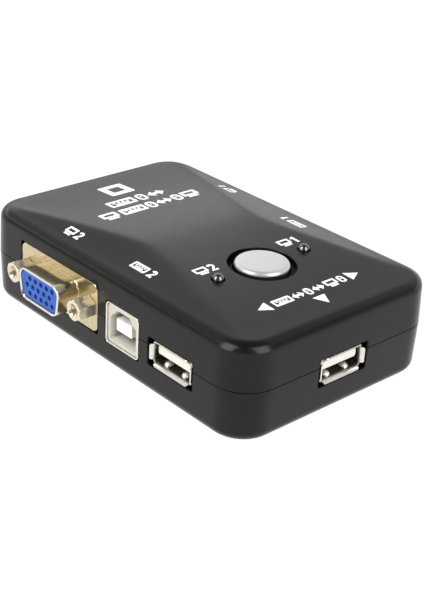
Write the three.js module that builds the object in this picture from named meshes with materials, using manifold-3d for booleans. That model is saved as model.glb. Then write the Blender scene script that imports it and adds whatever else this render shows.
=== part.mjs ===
// A two-port desktop KVM switch: one round select button in a black plastic case, a pair of computer ports
// (VGA, USB type B, USB type A) on the left and the same pair on the right, a USB type A socket at the front
// and the monitor's VGA socket at the back.
// Millimetres. +Z is up, -Y is the front, +X is the right seen from the front. The origin is on the surface
// that the case stands on, in the middle of the whole outline.
import * as THREE from 'three';
import { mergeVertices } from 'three/addons/utils/BufferGeometryUtils.js';
import Module from 'manifold-3d';

const wasm = await Module();
wasm.setup();

// ---------------------------------------------------------------- driving dimensions
const CASE = { width: 62.3, length: 96.8, edge: 24.1, peak: 26.15, seam: 12.8, corner: 8.8, fillet: 2.7, wall: 2 };
const CREST = { slope: 0.0455, back: 26.26, blend: 0.3 };
const CREASE = { middle: 15.7, waist: 1.2, spread: 0.28 };
const SEAM_LIP = { height: 1.5, thickness: 0.85, gap: 0.3 };
const BOARD = { width: 57.4, length: 92, top: 6.4, thickness: 1.6, notchX: 19.8, notchY: 37.2 };
const BOSS = { x: 24, y: 41.4, radius: 3.5, split: 10, headRadius: 3.1, headDepth: 3.8, hole: 1.6, pilot: 1.45 };
const SCREW = { headRadius: 2.7, headHeight: 2, shank: 1.3, tip: 20, slot: 0.7, slotDepth: 1.1 };
const PROP = { x: 17, y: 30, radius: 2 };

const BUTTON = { x: 0, y: -20.6, radius: 6.6, top: 26, flange: 8, flangeTop: 20.4, flangeBase: 19.4 };
const WELL = { radius: 8.2, floor: 24.1, bore: 6.95, collar: 9.5, collarBase: 20.9 };
const STEM = { radius: 3.2, base: 16.2, socket: 2.45, socketTop: 18.2 };
const SWITCH = { side: 12, base: 6.4, height: 8, floor: 1, bore: 4.2, cover: 0.4, throat: 2.6 };
const PLUNGER = { piston: 3.9, pistonBase: 11.5, pistonTop: 14.25, rod: 2.2, top: 18 };
const SPRING = { radius: 2.9, wire: 0.22, base: 7.7, top: 11.2, turns: 3.5 };

const LED = { x: 13.75, y: -20.6, radius: 1.5, hole: 1.68, flange: 1.9, base: 20.6, flangeTop: 21.6, top: 26.75 };
const LED_LEAD = { side: 0.5, pitch: 2.54, hole: 0.9, tip: 4 };

const VGA = {
  y: 17.07, z: 13.19, openWidth: 31.6, openHeight: 12.8, setback: 0.2, flangeWidth: 30.8, flangeHeight: 12.4,
  flange: 0.8, flangeCorner: 1.6, proud: 5.8, shellWidth: 17.1, shellHeight: 8.2, shell: 0.45, corner: 2.4,
  slant: 0.165, jackPitch: 24.99, jackFlats: 5, jackProud: 4.64, jackThread: 1.4, jackShank: 1.35, jackHole: 1.6,
};
const VGA_PINS = { rows: 3, perRow: 5, pitch: 2.29, rowPitch: 1.98, radius: 0.5, depth: 4 };
const USB_A = {
  y: -24.97, z: 11.1, openWidth: 15.4, openHeight: 7.1, width: 13.1, height: 5.72, sheet: 0.3, front: 1, depth: 14,
  lipStart: 1.1, lipReach: 1.1, lipAngle: 0.52, lipInset: 0.9, tongueWidth: 11.1, tongue: 2.1, tongueDrop: 0.75,
  tongueFront: 1.5,
};
const USB_B = {
  y: -7.89, z: 11.93, openWidth: 12.3, openHeight: 11, width: 12, height: 10.7, sheet: 0.3, depth: 16,
  socketWidth: 9, socketHeight: 7.9, socketDepth: 9, chamfer: 2.4, tongueWidth: 5.7, tongueHeight: 3.2,
  tongueFront: 0.75, tongueLift: 0.35,
};

const CORNER_STEPS = 6;
const INNER_CORNER_STEPS = 3;
const FILLET_STEPS = 3;
const ROUND_SIDES = 32;
const SMALL_SIDES = 12;
const PIN_SIDES = 6;
const WELD = 1e-4;
const SLACK = 0.1;
const SPARE = 5;

// ---------------------------------------------------------------- finishes
const BLACK_PLASTIC = { color: 0x1c1b1a, roughness: 0.55, metalness: 0 };
const SILVER_PLASTIC = { color: 0xc9c9c7, roughness: 0.35, metalness: 0 };
const CLEAR_PLASTIC = { color: 0x5b5e58, roughness: 0.15, metalness: 0 };
const BLUE_PLASTIC = { color: 0x1a3fc0, roughness: 0.5, metalness: 0 };
const CREAM_PLASTIC = { color: 0xe4dfcf, roughness: 0.5, metalness: 0 };
const BOARD_LACQUER = { color: 0x1d5a33, roughness: 0.4, metalness: 0 };
const BRIGHT_NICKEL = { color: 0xc9c8c4, roughness: 0.25, metalness: 1 };
const PALE_GOLD = { color: 0xd7c9a4, roughness: 0.3, metalness: 1 };
const SPRING_STEEL = { color: 0x9b9c9e, roughness: 0.3, metalness: 1 };

// ---------------------------------------------------------------- solids
function toSolid(geometry) {
  geometry.deleteAttribute('normal');
  geometry.deleteAttribute('uv');
  const merged = mergeVertices(geometry, WELD);
  const corners = merged.index.array;
  const kept = [];
  for (let i = 0; i < corners.length; i += 3) {
    const [a, b, c] = corners.slice(i, i + 3);
    if (a !== b && b !== c && c !== a) kept.push(a, b, c);
  }
  return new wasm.Manifold(new wasm.Mesh({
    numProp: 3,
    vertProperties: new Float32Array(merged.attributes.position.array),
    triVerts: new Uint32Array(kept),
  }));
}

function part(name, solid, look) {
  const { vertProperties, triVerts } = solid.getMesh();
  const geometry = new THREE.BufferGeometry();
  geometry.setAttribute('position', new THREE.BufferAttribute(vertProperties, 3));
  geometry.setIndex(new THREE.BufferAttribute(triVerts, 1));
  geometry.computeVertexNormals();
  const mesh = new THREE.Mesh(geometry, new THREE.MeshStandardMaterial(look));
  mesh.name = name;
  return mesh;
}

// A block centred on x, running from y to y + length and from z to z + height.
function block(width, length, height, x, y, z) {
  const geometry = new THREE.BoxGeometry(width, length, height);
  return toSolid(geometry.translate(x, y + length / 2, z + height / 2));
}

// An upright rod standing on z.
function rod(radius, height, x, y, z, sides = ROUND_SIDES) {
  const geometry = new THREE.CylinderGeometry(radius, radius, height, sides);
  return toSolid(geometry.rotateX(Math.PI / 2).translate(x, y, z + height / 2));
}

// A level rod along Y, from y to y + length.
function levelRod(radius, length, x, y, z, sides = SMALL_SIDES) {
  const geometry = new THREE.CylinderGeometry(radius, radius, length, sides);
  return toSolid(geometry.translate(x, y + length / 2, z));
}

function prism(shape, height, z, curveSegments = CORNER_STEPS) {
  const geometry = new THREE.ExtrudeGeometry(shape, { depth: height, bevelEnabled: false, curveSegments });
  return toSolid(geometry.translate(0, 0, z));
}

// An outline drawn in X and Z, thickened from y to y + length.
function standingPrism(shape, length, y, curveSegments) {
  const geometry = new THREE.ExtrudeGeometry(shape, { depth: length, bevelEnabled: false, curveSegments });
  return toSolid(geometry.rotateX(Math.PI / 2).translate(0, y + length, 0));
}

function roundedRectangle(width, length, radius) {
  const x = width / 2 - radius;
  const y = length / 2 - radius;
  const quarter = Math.PI / 2;
  const shape = new THREE.Shape();
  shape.moveTo(x + radius, -y);
  shape.absarc(x, y, radius, 0, quarter, false);
  shape.absarc(-x, y, radius, quarter, 2 * quarter, false);
  shape.absarc(-x, -y, radius, 2 * quarter, 3 * quarter, false);
  shape.absarc(x, -y, radius, 3 * quarter, 4 * quarter, false);
  return shape;
}

// ---------------------------------------------------------------- case
function planOutline(inset) {
  return roundedRectangle(CASE.width - 2 * inset, CASE.length - 2 * inset, CASE.corner - inset);
}

// The lid's middle line: a straight front slope meets an arched back in a soft ridge.
function crestHeight(y) {
  const reach = CASE.length / 2 - CASE.fillet;
  const front = CASE.edge + CREST.slope * (y + reach);
  const back = CREST.back - (CREST.back - CASE.edge) * (y / reach) ** 2;
  const over = front - back;
  return front - (over + Math.hypot(over, CREST.blend)) / 2;
}

function creaseAt(y) {
  return CREASE.middle + Math.hypot(CREASE.waist, CREASE.spread * y);
}

// The ridged lid surface with a flat facet falling from each waisted crease to the case's side edge.
function crown(inset) {
  const side = CASE.width / 2 - CASE.fillet;
  const reach = CASE.length / 2 - CASE.fillet;
  const depth = CASE.fillet + CASE.wall;
  const geometry = new THREE.BoxGeometry(4, 2 * reach, 2, 4, inset > 0 ? 6 : 12, 1);
  const points = geometry.attributes.position;
  for (let i = 0; i < points.count; i += 1) {
    const column = Math.abs(points.getX(i));
    const y = points.getY(i);
    const x = [0, Math.min(creaseAt(y), side - 0.5), side][column];
    const top = column > 1 ? CASE.edge : crestHeight(y);
    const z = points.getZ(i) > 0 ? top : CASE.edge - depth;
    points.setXYZ(i, Math.sign(points.getX(i)) * x, y, z - inset);
  }
  const rim = planOutline(CASE.fillet + inset);
  const steps = inset > 0 ? INNER_CORNER_STEPS : CORNER_STEPS;
  return toSolid(geometry).intersect(prism(rim, depth + SPARE, CASE.edge - depth - inset, steps));
}

// The whole outer form, or the same form drawn in by the wall for the hollow inside.
function caseForm(inset) {
  const fillet = inset > 0 ? CASE.fillet - inset + 0.3 : CASE.fillet;
  const geometry = new THREE.ExtrudeGeometry(planOutline(inset), {
    depth: CASE.edge - 2 * inset - 2 * fillet,
    bevelThickness: fillet,
    bevelSize: fillet,
    bevelOffset: -fillet,
    bevelSegments: inset > 0 ? 1 : FILLET_STEPS,
    curveSegments: inset > 0 ? INNER_CORNER_STEPS : CORNER_STEPS,
  });
  return toSolid(geometry.translate(0, 0, fillet + inset)).add(crown(inset));
}

function slab(low, high) {
  return block(CASE.width + SPARE, CASE.length + SPARE, high - low, 0, -(CASE.length + SPARE) / 2, low);
}

function cornerPlaces() {
  const places = [];
  for (const y of [-BOSS.y, BOSS.y]) {
    for (const x of [-BOSS.x, BOSS.x]) places.push([x, y]);
  }
  return places;
}

// Every port's turned group: its name, quarter turns from the front, and where its face meets the wall.
function portPlaces() {
  const side = CASE.width / 2;
  const end = CASE.length / 2;
  return {
    vga: [['left', -1, -side, VGA.y], ['right', 1, side, VGA.y], ['rear', 2, 0, end]],
    usbB: [['left', -1, -side, USB_B.y], ['right', 1, side, USB_B.y]],
    usbA: [['left', -1, -side, USB_A.y], ['right', 1, side, USB_A.y], ['front', 0, 0, -end]],
  };
}

// The window that one kind of port needs in the wall, at each of its places.
function windows(port, places) {
  const depth = CASE.wall + SPARE;
  return places.map(([, turns, x, y]) => {
    const tool = new THREE.BoxGeometry(port.openWidth, depth, port.openHeight);
    tool.translate(0, 0, port.z).rotateZ(turns * Math.PI / 2).translate(x, y, 0);
    return toSolid(tool);
  });
}

function allWindows() {
  const places = portPlaces();
  return [...windows(VGA, places.vga), ...windows(USB_B, places.usbB), ...windows(USB_A, places.usbA)];
}

function bottomShell() {
  let shell = caseForm(0).intersect(slab(-SPARE, CASE.seam)).subtract(caseForm(CASE.wall));
  const lipOuter = CASE.wall - SEAM_LIP.thickness;
  const lip = prism(planOutline(lipOuter), 2 * SEAM_LIP.height, CASE.seam - SEAM_LIP.height)
    .subtract(prism(planOutline(CASE.wall), CASE.edge, 0, INNER_CORNER_STEPS));
  shell = shell.add(lip);
  for (const [x, y] of cornerPlaces()) {
    shell = shell.add(rod(BOSS.radius, BOSS.split - 1, x, y, 1, SMALL_SIDES * 2));
    shell = shell.subtract(rod(BOSS.headRadius, BOSS.headDepth + SPARE, x, y, -SPARE, SMALL_SIDES * 2));
    shell = shell.subtract(rod(BOSS.hole, BOSS.split + SPARE, x, y, 0, SMALL_SIDES));
  }
  for (const y of [-PROP.y, PROP.y]) {
    for (const x of [-PROP.x, PROP.x]) {
      shell = shell.add(rod(PROP.radius, BOARD.top - BOARD.thickness - 1, x, y, 1, SMALL_SIDES));
    }
  }
  for (const tool of allWindows()) shell = shell.subtract(tool);
  return part('bottom_shell', shell, BLACK_PLASTIC);
}

function topShell() {
  let hollow = caseForm(CASE.wall);
  const rebate = CASE.wall - SEAM_LIP.thickness - SEAM_LIP.gap;
  hollow = hollow.add(prism(planOutline(rebate), SEAM_LIP.height + SEAM_LIP.gap + SPARE, CASE.seam - SPARE));
  let shell = caseForm(0).intersect(slab(CASE.seam, CASE.peak + SPARE)).subtract(hollow);
  for (const [x, y] of cornerPlaces()) {
    const post = rod(BOSS.radius - 0.5, CASE.edge - BOSS.split, x, y, BOSS.split + SEAM_LIP.gap, SMALL_SIDES * 2);
    shell = shell.add(post.intersect(caseForm(0)));
    shell = shell.subtract(rod(BOSS.pilot, SCREW.tip + 1 - BOSS.split, x, y, BOSS.split, SMALL_SIDES));
  }
  const collar = rod(WELL.collar, CASE.edge - WELL.collarBase, BUTTON.x, BUTTON.y, WELL.collarBase);
  shell = shell.add(collar);
  shell = shell.subtract(rod(WELL.bore, CASE.edge, BUTTON.x, BUTTON.y, WELL.collarBase - SPARE));
  shell = shell.subtract(rod(WELL.radius, SPARE, BUTTON.x, BUTTON.y, WELL.floor));
  for (const x of [-LED.x, LED.x]) shell = shell.subtract(rod(LED.hole, SPARE, x, LED.y, LED.flangeTop));
  for (const tool of allWindows()) shell = shell.subtract(tool);
  return part('top_shell', shell, BLACK_PLASTIC);
}

// A cross-slotted self-tapping screw, driven up from the recess under each corner of the case.
function caseScrew(name, x, y) {
  const seat = BOSS.headDepth;
  const head = rod(SCREW.headRadius, SCREW.headHeight, x, y, seat - SCREW.headHeight, SMALL_SIDES * 2);
  const shank = rod(SCREW.shank, SCREW.tip - seat + 1, x, y, seat - 1, SMALL_SIDES);
  const reach = 2 * SCREW.headRadius - 2;
  const base = seat - SCREW.headHeight - 1;
  const along = block(reach, SCREW.slot, 1 + SCREW.slotDepth, x, y - SCREW.slot / 2, base);
  const across = block(SCREW.slot, reach, 1 + SCREW.slotDepth, x, y - reach / 2, base);
  return part(name, head.add(shank).subtract(along).subtract(across), BRIGHT_NICKEL);
}

// ---------------------------------------------------------------- circuit board
function circuitBoard() {
  const base = BOARD.top - BOARD.thickness;
  let board = block(BOARD.width, BOARD.length, BOARD.thickness, 0, -BOARD.length / 2, base);
  for (const [x, y] of cornerPlaces()) {
    const away = Math.sign(y) * BOARD.notchY;
    const start = y > 0 ? away : away - SPARE * 2;
    const middle = Math.sign(x) * (BOARD.notchX + SPARE);
    board = board.subtract(block(SPARE * 2, SPARE * 2, BOARD.thickness * 2, middle, start, base - 0.5));
  }
  for (const x of [-LED.x, LED.x]) {
    for (const side of [-1, 1]) {
      const hole = LED_LEAD.hole;
      const leadX = x + side * LED_LEAD.pitch / 2;
      board = board.subtract(block(hole, hole, BOARD.thickness * 2, leadX, LED.y - hole / 2, base - 0.5));
    }
  }
  return part('circuit_board', board, BOARD_LACQUER);
}

// A flat chip whose legs run along its two long sides.
function chip(name, length, width, height, legs, x, y) {
  const lift = 0.2;
  const pitch = 1.27;
  let body = block(length, width, height, x, y - width / 2, BOARD.top + lift);
  for (let i = 0; i < legs; i += 1) {
    const legX = x + (i - (legs - 1) / 2) * pitch;
    body = body.add(block(0.4, width + 2, 0.2, legX, y - width / 2 - 1, BOARD.top + lift - 0.1));
  }
  return part(name, body, BLACK_PLASTIC);
}

function capacitor(name, x, y) {
  const can = new THREE.CylinderGeometry(3.15, 3.15, 7, ROUND_SIDES / 2);
  const seal = rod(2.8, 1, x, y, BOARD.top + SLACK, ROUND_SIDES / 2);
  return part(name, toSolid(can.rotateX(Math.PI / 2).translate(x, y, BOARD.top + 4.2)).add(seal), SPRING_STEEL);
}

function crystal(name, x, y) {
  const can = prism(roundedRectangle(10.2, 3.8, 1.8), 3.2, BOARD.top + 0.5, INNER_CORNER_STEPS);
  const foot = prism(roundedRectangle(11, 4.6, 2.2), 0.5, BOARD.top + SLACK, INNER_CORNER_STEPS);
  return part(name, can.add(foot).translate([x, y, 0]), BRIGHT_NICKEL);
}

// ---------------------------------------------------------------- select button and its switch
function turned(profile, x, y, sides = ROUND_SIDES) {
  const points = profile.map(([radius, z]) => new THREE.Vector2(radius, z));
  return toSolid(new THREE.LatheGeometry(points, sides).rotateX(Math.PI / 2).translate(x, y, 0));
}

function selectButton() {
  const edge = 0.5;
  const profile = [
    [0, STEM.socketTop],
    [STEM.socket, STEM.socketTop],
    [STEM.socket, STEM.base],
    [STEM.radius, STEM.base],
    [STEM.radius, BUTTON.flangeBase],
    [BUTTON.flange, BUTTON.flangeBase],
    [BUTTON.flange, BUTTON.flangeTop],
    [BUTTON.radius, BUTTON.flangeTop],
    [BUTTON.radius, BUTTON.top - edge],
    [BUTTON.radius - edge * 0.3, BUTTON.top - edge * 0.3],
    [BUTTON.radius - edge, BUTTON.top],
    [0, BUTTON.top],
  ];
  return part('select_button', turned(profile, BUTTON.x, BUTTON.y), SILVER_PLASTIC);
}

function switchHousing() {
  const half = SWITCH.side / 2;
  const cup = block(SWITCH.side, SWITCH.side, SWITCH.height, BUTTON.x, BUTTON.y - half, SWITCH.base);
  const well = rod(SWITCH.bore, SWITCH.height, BUTTON.x, BUTTON.y, SWITCH.base + SWITCH.floor, ROUND_SIDES / 2);
  return part('switch_housing', cup.subtract(well), BLACK_PLASTIC);
}

function switchCover() {
  const half = SWITCH.side / 2;
  const z = SWITCH.base + SWITCH.height;
  const plate = block(SWITCH.side, SWITCH.side, SWITCH.cover, BUTTON.x, BUTTON.y - half, z);
  const throat = rod(SWITCH.throat, 2, BUTTON.x, BUTTON.y, z - 1, ROUND_SIDES / 2);
  return part('switch_cover', plate.subtract(throat), BRIGHT_NICKEL);
}

function switchPlunger() {
  const profile = [
    [0, PLUNGER.pistonBase],
    [PLUNGER.piston, PLUNGER.pistonBase],
    [PLUNGER.piston, PLUNGER.pistonTop],
    [PLUNGER.rod, PLUNGER.pistonTop],
    [PLUNGER.rod, PLUNGER.top],
    [0, PLUNGER.top],
  ];
  return part('switch_plunger', turned(profile, BUTTON.x, BUTTON.y, ROUND_SIDES / 2), CREAM_PLASTIC);
}

class Helix extends THREE.Curve {
  getPoint(t, target = new THREE.Vector3()) {
    const angle = t * SPRING.turns * 2 * Math.PI;
    const z = SPRING.base + t * (SPRING.top - SPRING.base);
    return target.set(SPRING.radius * Math.cos(angle), SPRING.radius * Math.sin(angle), z);
  }
}

function switchSpring() {
  const wire = new THREE.Shape();
  wire.absarc(0, 0, SPRING.wire, 0, 2 * Math.PI, false);
  const geometry = new THREE.ExtrudeGeometry(wire, { extrudePath: new Helix(), steps: 42, curveSegments: 3 });
  return part('switch_spring', toSolid(geometry.translate(BUTTON.x, BUTTON.y, 0)), SPRING_STEEL);
}

function indicator(name, x) {
  const dome = LED.top - LED.radius;
  const lean = Math.SQRT1_2 * LED.radius;
  const profile = [
    [0, LED.base],
    [LED.flange, LED.base],
    [LED.flange, LED.flangeTop],
    [LED.radius, LED.flangeTop],
    [LED.radius, dome],
    [lean, dome + lean],
    [0, LED.top],
  ];
  let lamp = turned(profile, x, LED.y, ROUND_SIDES / 2);
  for (const side of [-1, 1]) {
    const leadX = x + side * LED_LEAD.pitch / 2;
    const length = LED.base + 0.5 - LED_LEAD.tip;
    lamp = lamp.add(block(LED_LEAD.side, LED_LEAD.side, length, leadX, LED.y - LED_LEAD.side / 2, LED_LEAD.tip));
  }
  return part(name, lamp, CLEAR_PLASTIC);
}

// ---------------------------------------------------------------- ports, each drawn facing the front, -Y,
// with its wall face at y = 0 and turned into place by its group
function turnedGroup([, turns, x, y], pieces) {
  const group = new THREE.Group();
  group.rotation.z = turns * Math.PI / 2;
  group.position.set(x, y, 0);
  group.add(...pieces);
  return group;
}

// A D outline, wide side up, drawn in by a margin.
function dOutline(margin) {
  const high = VGA.shellHeight / 2 - margin;
  const middle = VGA.shellWidth / 2 - margin - VGA.shellHeight / 2 * VGA.slant;
  const corner = VGA.corner - margin;
  const corners = [
    [middle + high * VGA.slant, VGA.z + high],
    [-middle - high * VGA.slant, VGA.z + high],
    [-middle + high * VGA.slant, VGA.z - high],
    [middle - high * VGA.slant, VGA.z - high],
  ].map(([x, z]) => new THREE.Vector2(x, z));
  const shape = new THREE.Shape();
  corners.forEach((point, i) => {
    const before = corners[(i + 3) % 4].clone().sub(point).setLength(corner).add(point);
    const after = corners[(i + 1) % 4].clone().sub(point).setLength(corner).add(point);
    if (i === 0) shape.moveTo(before.x, before.y);
    else shape.lineTo(before.x, before.y);
    shape.quadraticCurveTo(point.x, point.y, after.x, after.y);
  });
  return shape;
}

function vgaPort(place) {
  const name = `vga_${place[0]}`;
  const back = VGA.setback + VGA.flange;
  const pieces = [];

  const plate = roundedRectangle(VGA.flangeWidth, VGA.flangeHeight, VGA.flangeCorner);
  let shell = standingPrism(plate, VGA.flange, VGA.setback, INNER_CORNER_STEPS).translate([0, 0, VGA.z]);
  shell = shell.add(standingPrism(dOutline(0), VGA.proud + back, -VGA.proud, 3));
  shell = shell.subtract(standingPrism(dOutline(VGA.shell), VGA.proud + back + 2, -VGA.proud - 1, 3));
  const rear = CASE.wall + SLACK;
  let housing = block(VGA.flangeWidth - 1, 7.6, VGA.z + 5.6 - BOARD.top, 0, rear + SLACK, BOARD.top);
  [-1, 1].forEach((side, i) => {
    const x = side * VGA.jackPitch / 2;
    shell = shell.subtract(levelRod(VGA.jackHole, 4, x, 0, VGA.z));
    housing = housing.subtract(levelRod(VGA.jackHole, 7, x, 1, VGA.z));
    const hexRadius = VGA.jackFlats / Math.sqrt(3);
    const hex = levelRod(hexRadius, VGA.jackProud + VGA.setback - SLACK, x, -VGA.jackProud, VGA.z, 6);
    const shank = levelRod(VGA.jackShank, 7, x, 0, VGA.z);
    const thread = levelRod(VGA.jackThread, 4.5 + 1, x, -VGA.jackProud - 1, VGA.z);
    pieces.push(part(`${name}_jackscrew_${i + 1}`, hex.subtract(thread).add(shank), BRIGHT_NICKEL));
  });

  const front = -VGA.proud + 0.35;
  let insert = standingPrism(dOutline(VGA.shell + SLACK), rear - front, front, 3);
  for (let row = 0; row < VGA_PINS.rows; row += 1) {
    const z = VGA.z + (1 - row) * VGA_PINS.rowPitch;
    const shift = row === 1 ? -VGA_PINS.pitch / 4 : VGA_PINS.pitch / 4;
    for (let i = 0; i < VGA_PINS.perRow; i += 1) {
      const x = (i - (VGA_PINS.perRow - 1) / 2) * VGA_PINS.pitch + shift;
      insert = insert.subtract(levelRod(VGA_PINS.radius, VGA_PINS.depth, x, front - 1, z, PIN_SIDES));
    }
  }
  pieces.push(part(`${name}_shell`, shell, PALE_GOLD));
  pieces.push(part(`${name}_insert`, insert, BLUE_PLASTIC));
  pieces.push(part(`${name}_housing`, housing, BLACK_PLASTIC));
  return turnedGroup(place, pieces);
}

// The sheet-metal box of a USB type A socket, with its four flared lips and its solder legs.
function usbAShell() {
  const low = USB_A.z - USB_A.height / 2;
  const inner = { width: USB_A.width - 2 * USB_A.sheet, height: USB_A.height - 2 * USB_A.sheet };
  let shell = block(USB_A.width, USB_A.depth - USB_A.front, USB_A.height, 0, USB_A.front, low);
  for (const turn of [0, 1, 2, 3]) {
    const level = turn % 2 === 0;
    const reach = level ? USB_A.height / 2 : USB_A.width / 2;
    const width = (level ? USB_A.width : USB_A.height) - 2 * USB_A.lipInset;
    const lip = new THREE.BoxGeometry(width, USB_A.lipReach, USB_A.sheet);
    lip.translate(0, -USB_A.lipReach / 2, 0).rotateX(-USB_A.lipAngle);
    lip.translate(0, USB_A.lipStart, reach - USB_A.sheet / 2).rotateY(turn * Math.PI / 2);
    shell = shell.add(toSolid(lip.translate(0, 0, USB_A.z)));
  }
  const start = USB_A.front - USB_A.sheet;
  shell = shell.subtract(block(inner.width, USB_A.depth + 2, inner.height, 0, start, low + USB_A.sheet));
  for (const side of [-1, 1]) {
    for (const y of [3.5, 10]) {
      const x = side * (USB_A.width - USB_A.sheet) / 2;
      shell = shell.add(block(USB_A.sheet, 2.4, low + 1 - BOARD.top - SLACK, x, y, BOARD.top + SLACK));
    }
  }
  return shell;
}

function usbAInsulator() {
  const width = USB_A.width - 2 * USB_A.sheet - 2 * SLACK;
  const height = USB_A.height - 2 * USB_A.sheet - 2 * SLACK;
  const rear = block(width, 4, height, 0, USB_A.depth - 4.2, USB_A.z - height / 2);
  const tongueTop = USB_A.z + USB_A.height / 2 - USB_A.sheet - USB_A.tongueDrop;
  const length = USB_A.depth - 4;
  const tongue = block(USB_A.tongueWidth, length, USB_A.tongue, 0, USB_A.tongueFront, tongueTop - USB_A.tongue);
  return rear.add(tongue);
}

function usbAPort(place) {
  const name = `usb_a_${place[0]}`;
  return turnedGroup(place, [
    part(`${name}_shell`, usbAShell(), BRIGHT_NICKEL),
    part(`${name}_insulator`, usbAInsulator(), CREAM_PLASTIC),
  ]);
}

// The near-square outline of a type B plug, with its two upper corners cut off.
function typeBOutline() {
  const x = USB_B.socketWidth / 2;
  const low = USB_B.z - USB_B.socketHeight / 2;
  const high = USB_B.z + USB_B.socketHeight / 2;
  const shape = new THREE.Shape();
  shape.moveTo(-x, low);
  shape.lineTo(x, low);
  shape.lineTo(x, high - USB_B.chamfer);
  shape.lineTo(x - USB_B.chamfer, high);
  shape.lineTo(-x + USB_B.chamfer, high);
  shape.lineTo(-x, high - USB_B.chamfer);
  shape.closePath();
  return shape;
}

function usbBPort(place) {
  const name = `usb_b_${place[0]}`;
  const front = 0.15;
  const innerWidth = USB_B.width - 2 * USB_B.sheet;
  const innerHeight = USB_B.height - 2 * USB_B.sheet;
  const low = USB_B.z - USB_B.height / 2;
  const box = block(USB_B.width, USB_B.depth, USB_B.height, 0, front, low);
  const hollow = block(innerWidth, USB_B.depth, innerHeight, 0, front - USB_B.sheet, low + USB_B.sheet);
  const shell = box.subtract(hollow);

  const length = USB_B.depth - USB_B.sheet - 3 * SLACK;
  const fitLow = low + USB_B.sheet + SLACK;
  let insulator = block(innerWidth - 2 * SLACK, length - 0.2, innerHeight - 2 * SLACK, 0, front + 0.2, fitLow);
  insulator = insulator.subtract(standingPrism(typeBOutline(), USB_B.socketDepth + 1, front - 0.8, 1));
  const tongueBase = USB_B.z + USB_B.tongueLift - USB_B.tongueHeight / 2;
  const { tongueWidth, tongueHeight, tongueFront, socketDepth } = USB_B;
  insulator = insulator.add(block(tongueWidth, socketDepth, tongueHeight, 0, tongueFront, tongueBase));
  return turnedGroup(place, [
    part(`${name}_shell`, shell, BRIGHT_NICKEL),
    part(`${name}_insulator`, insulator, CREAM_PLASTIC),
  ]);
}

// ---------------------------------------------------------------- the whole switch
function assembly() {
  const places = portPlaces();
  const whole = new THREE.Group();
  whole.add(bottomShell(), topShell(), circuitBoard());
  cornerPlaces().forEach(([x, y], i) => whole.add(caseScrew(`case_screw_${i + 1}`, x, y)));
  whole.add(selectButton(), switchPlunger(), switchHousing(), switchCover(), switchSpring());
  whole.add(indicator('led_left', -LED.x), indicator('led_right', LED.x));
  for (const place of places.vga) whole.add(vgaPort(place));
  for (const place of places.usbB) whole.add(usbBPort(place));
  for (const place of places.usbA) whole.add(usbAPort(place));
  whole.add(chip('control_chip', 18, 7.5, 2.3, 14, 0, 2));
  whole.add(chip('video_chip_left', 9.9, 3.9, 1.5, 8, -9, 16));
  whole.add(chip('video_chip_right', 9.9, 3.9, 1.5, 8, 9, 16));
  whole.add(crystal('crystal', 0, 10));
  whole.add(capacitor('capacitor_left', -10, 28), capacitor('capacitor_right', 10, 28));
  whole.position.y = -VGA.proud / 2;
  return whole;
}

export default assembly();
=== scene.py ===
"""The looks of a two-port desktop KVM switch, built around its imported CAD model.

Shapes are drawn in millimetres about the middle of the case's underside: +Z up, -Y the front, +X the right.
A port is drawn facing the front, with the case wall's outer face at y = 0, and is turned into place.
"""

import math

import bmesh
import bpy
from mathutils import Matrix, Vector


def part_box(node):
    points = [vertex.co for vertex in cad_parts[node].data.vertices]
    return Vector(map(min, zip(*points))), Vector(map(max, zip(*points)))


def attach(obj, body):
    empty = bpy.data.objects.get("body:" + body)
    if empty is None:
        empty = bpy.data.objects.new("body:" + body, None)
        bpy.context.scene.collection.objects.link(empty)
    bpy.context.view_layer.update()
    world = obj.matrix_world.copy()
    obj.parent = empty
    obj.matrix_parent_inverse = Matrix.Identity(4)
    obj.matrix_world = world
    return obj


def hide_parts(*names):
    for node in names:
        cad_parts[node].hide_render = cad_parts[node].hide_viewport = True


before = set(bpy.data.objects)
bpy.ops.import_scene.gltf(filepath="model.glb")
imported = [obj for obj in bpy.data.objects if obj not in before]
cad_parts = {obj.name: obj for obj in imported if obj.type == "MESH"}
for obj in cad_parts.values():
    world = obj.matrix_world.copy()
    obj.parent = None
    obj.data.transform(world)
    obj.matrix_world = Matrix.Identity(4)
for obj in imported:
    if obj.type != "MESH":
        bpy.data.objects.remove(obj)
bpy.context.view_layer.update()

MM = 0.001
QUARTER = math.pi / 2


# ---------------------------------------------------------------- sizes, from the frame where it has them
def box_mm(node):
    low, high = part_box(node)
    return low / MM, high / MM


LID_LOW, LID_HIGH = box_mm("top_shell")
HALF_WIDTH = (LID_HIGH.x - LID_LOW.x) / 2
HALF_LENGTH = (LID_HIGH.y - LID_LOW.y) / 2
CASE_Y = (LID_HIGH.y + LID_LOW.y) / 2
PEAK = LID_HIGH.z
BUTTON_LOW, BUTTON_HIGH = box_mm("select_button")
BUTTON_Y = (BUTTON_LOW.y + BUTTON_HIGH.y) / 2 - CASE_Y
LAMP_LOW, LAMP_HIGH = box_mm("led_right")
LAMP_X = (LAMP_LOW.x + LAMP_HIGH.x) / 2

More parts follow.
